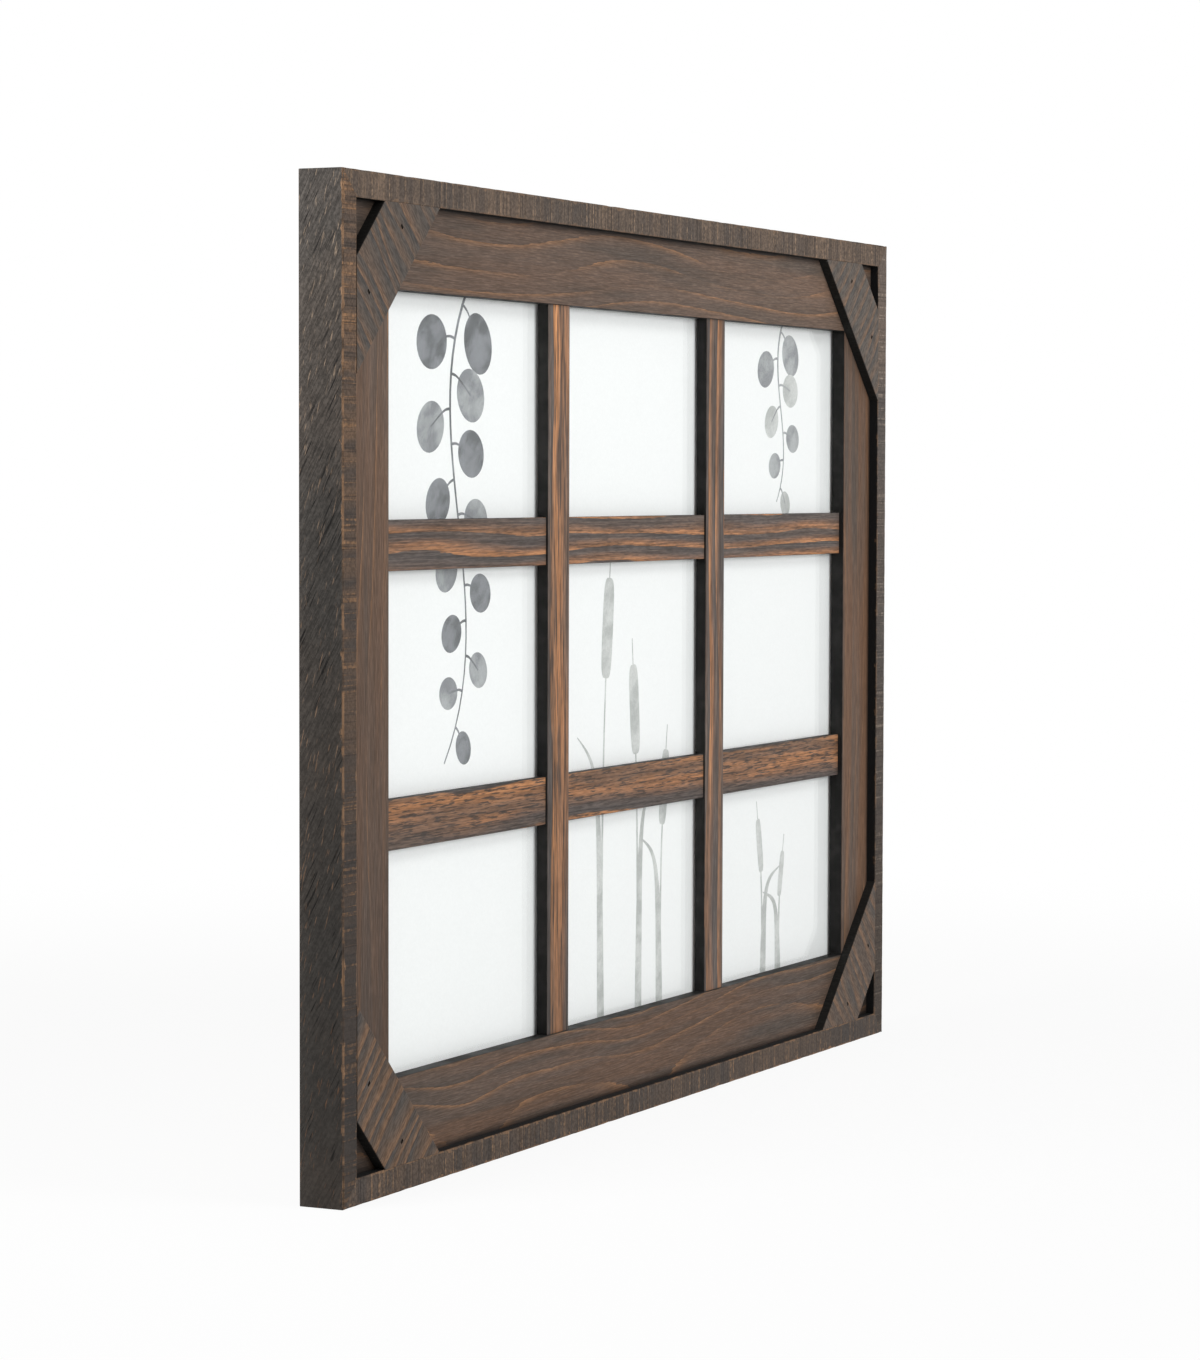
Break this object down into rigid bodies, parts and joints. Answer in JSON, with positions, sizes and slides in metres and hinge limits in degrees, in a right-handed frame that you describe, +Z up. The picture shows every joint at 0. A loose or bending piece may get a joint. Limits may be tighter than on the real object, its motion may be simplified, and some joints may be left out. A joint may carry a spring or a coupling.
{
  "type": "collage photo frame",
  "caption": "Wall-hung collage photo frame of dark-stained wood: rough-sawn outer band, muntin lattice over glass, corner braces, turn-button backing and D-ring hangers.",
  "frame": {"origin": "middle of the wall plane, which the back edges of the outer band lie in", "axes": "+X to the viewer's right, +Z up, the front faces -Y"},
  "size_m": [0.5462, 0.0195, 0.3938],
  "materials": {
    "rough_sawn_wood": "dark stain on rough-sawn wood, worn lighter along the edges",
    "stained_wood": "smooth planed wood, dark brown stain, fine lighter grain lines",
    "muntin_wood": "smooth planed wood with strong dark and orange-brown grain bands",
    "brace_wood": "dark stain over cross saw marks",
    "nail_steel": "plain dark steel",
    "glass": "clear float glass",
    "print_paper": "matt white print paper with grey plant shapes",
    "backing_mdf": "bare brown fibreboard",
    "zinc_plated_steel": "bright zinc plate, pressed sheet and drawn wire"
  },
  "bodies": {
    "frame": {"backing_board": "backing_mdf", "band_bottom": "rough_sawn_wood", "band_left": "rough_sawn_wood", "band_right": "rough_sawn_wood", "band_top": "rough_sawn_wood", "brace_brads": "nail_steel", "corner_brace_bottom_left": "brace_wood", "corner_brace_bottom_right": "brace_wood", "corner_brace_top_left": "brace_wood", "corner_brace_top_right": "brace_wood", "cross_muntin_1": "muntin_wood", "cross_muntin_2": "muntin_wood", "glass_pane": "glass", "hanger_screws": "zinc_plated_steel", "hanger_strap_left": "zinc_plated_steel", "hanger_strap_right": "zinc_plated_steel", "inner_rail_bottom": "stained_wood", "inner_rail_top": "stained_wood", "inner_stile_left": "stained_wood", "inner_stile_right": "stained_wood", "mitre_vnails": "nail_steel", "print_sheet": "print_paper", "turn_button_screws": "zinc_plated_steel", "upright_muntin_1": "muntin_wood", "upright_muntin_2": "muntin_wood"},
    "turn_button_top_left": {"turn_button_top_left": "zinc_plated_steel"},
    "turn_button_top_right": {"turn_button_top_right": "zinc_plated_steel"},
    "turn_button_bottom_left": {"turn_button_bottom_left": "zinc_plated_steel"},
    "turn_button_bottom_right": {"turn_button_bottom_right": "zinc_plated_steel"},
    "turn_button_left_upper": {"turn_button_left_upper": "zinc_plated_steel"},
    "turn_button_left_lower": {"turn_button_left_lower": "zinc_plated_steel"},
    "turn_button_right_upper": {"turn_button_right_upper": "zinc_plated_steel"},
    "turn_button_right_lower": {"turn_button_right_lower": "zinc_plated_steel"},
    "hanger_ring_left": {"hanger_ring_left": "zinc_plated_steel"},
    "hanger_ring_right": {"hanger_ring_right": "zinc_plated_steel"}
  },
  "joints": [
    {"name": "turn_top_left_pivot", "type": "hinge", "parent": "frame", "child": "turn_button_top_left", "pos_m": [-0.12, -0.0035, 0.16785], "axis": [0, 1, 0], "continuous": true},
    {"name": "turn_top_right_pivot", "type": "hinge", "parent": "frame", "child": "turn_button_top_right", "pos_m": [0.12, -0.0035, 0.16785], "axis": [0, 1, 0], "continuous": true},
    {"name": "turn_bottom_left_pivot", "type": "hinge", "parent": "frame", "child": "turn_button_bottom_left", "pos_m": [-0.12, -0.0035, -0.16785], "axis": [0, 1, 0], "continuous": true},
    {"name": "turn_bottom_right_pivot", "type": "hinge", "parent": "frame", "child": "turn_button_bottom_right", "pos_m": [0.12, -0.0035, -0.16785], "axis": [0, 1, 0], "continuous": true},
    {"name": "turn_left_upper_pivot", "type": "hinge", "parent": "frame", "child": "turn_button_left_upper", "pos_m": [-0.24405, -0.0035, 0.07], "axis": [0, 1, 0], "continuous": true},
    {"name": "turn_left_lower_pivot", "type": "hinge", "parent": "frame", "child": "turn_button_left_lower", "pos_m": [-0.24405, -0.0035, -0.07], "axis": [0, 1, 0], "continuous": true},
    {"name": "turn_right_upper_pivot", "type": "hinge", "parent": "frame", "child": "turn_button_right_upper", "pos_m": [0.24405, -0.0035, 0.07], "axis": [0, 1, 0], "continuous": true},
    {"name": "turn_right_lower_pivot", "type": "hinge", "parent": "frame", "child": "turn_button_right_lower", "pos_m": [0.24405, -0.0035, -0.07], "axis": [0, 1, 0], "continuous": true},
    {"name": "hanger_ring_left_swing", "type": "hinge", "parent": "frame", "child": "hanger_ring_left", "pos_m": [-0.25005, -0.00182, 0.12485], "axis": [-1, 0, 0], "range_deg": [0, 184]},
    {"name": "hanger_ring_right_swing", "type": "hinge", "parent": "frame", "child": "hanger_ring_right", "pos_m": [0.25005, -0.00182, 0.12485], "axis": [-1, 0, 0], "range_deg": [0, 184]}
  ]
}
